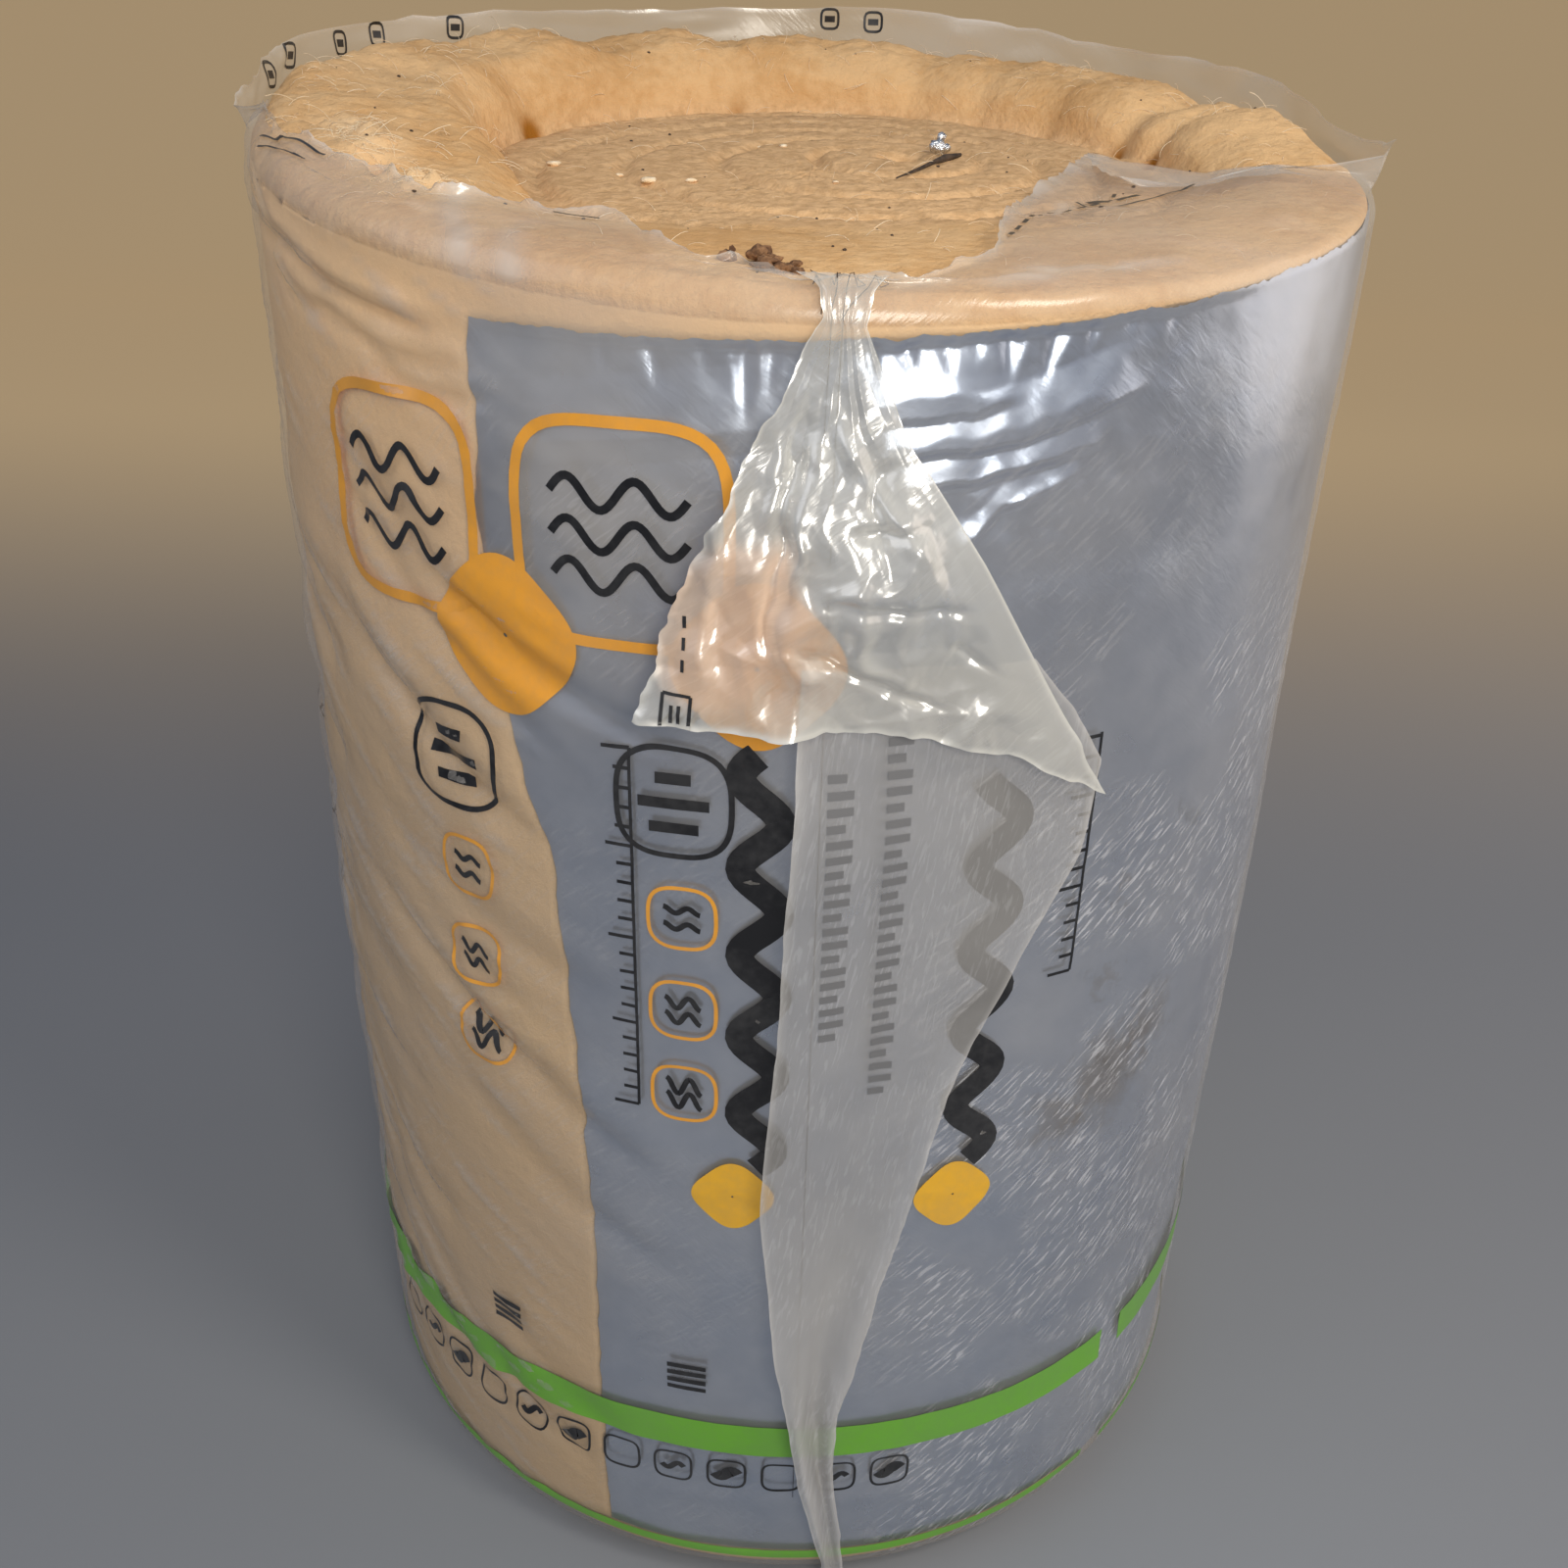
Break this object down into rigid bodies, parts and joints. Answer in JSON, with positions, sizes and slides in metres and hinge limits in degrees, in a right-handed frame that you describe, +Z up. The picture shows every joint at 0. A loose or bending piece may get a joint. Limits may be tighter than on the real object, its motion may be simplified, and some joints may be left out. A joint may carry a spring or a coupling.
{
  "type": "insulation roll",
  "caption": "Standing roll of foil-faced glass wool with a raised last turn, in a torn clear film sleeve whose loose flap hangs down the front.",
  "frame": {"origin": "middle of the roll's base, on the floor", "axes": "+Z up along the roll's axis, -Y towards the side with the hanging flap, +X to the right seen from there"},
  "size_m": [0.446, 0.453, 0.6694],
  "materials": {
    "glass_wool": "soft matted fibre, pale yellow",
    "foil": "creased satin foil",
    "film": "clear, slightly milky polyethylene film, wrinkled"
  },
  "bodies": {
    "root": {"wool_roll": "glass_wool", "foil_facing": "foil", "film_wrap": "film"}
  },
  "joints": []
}
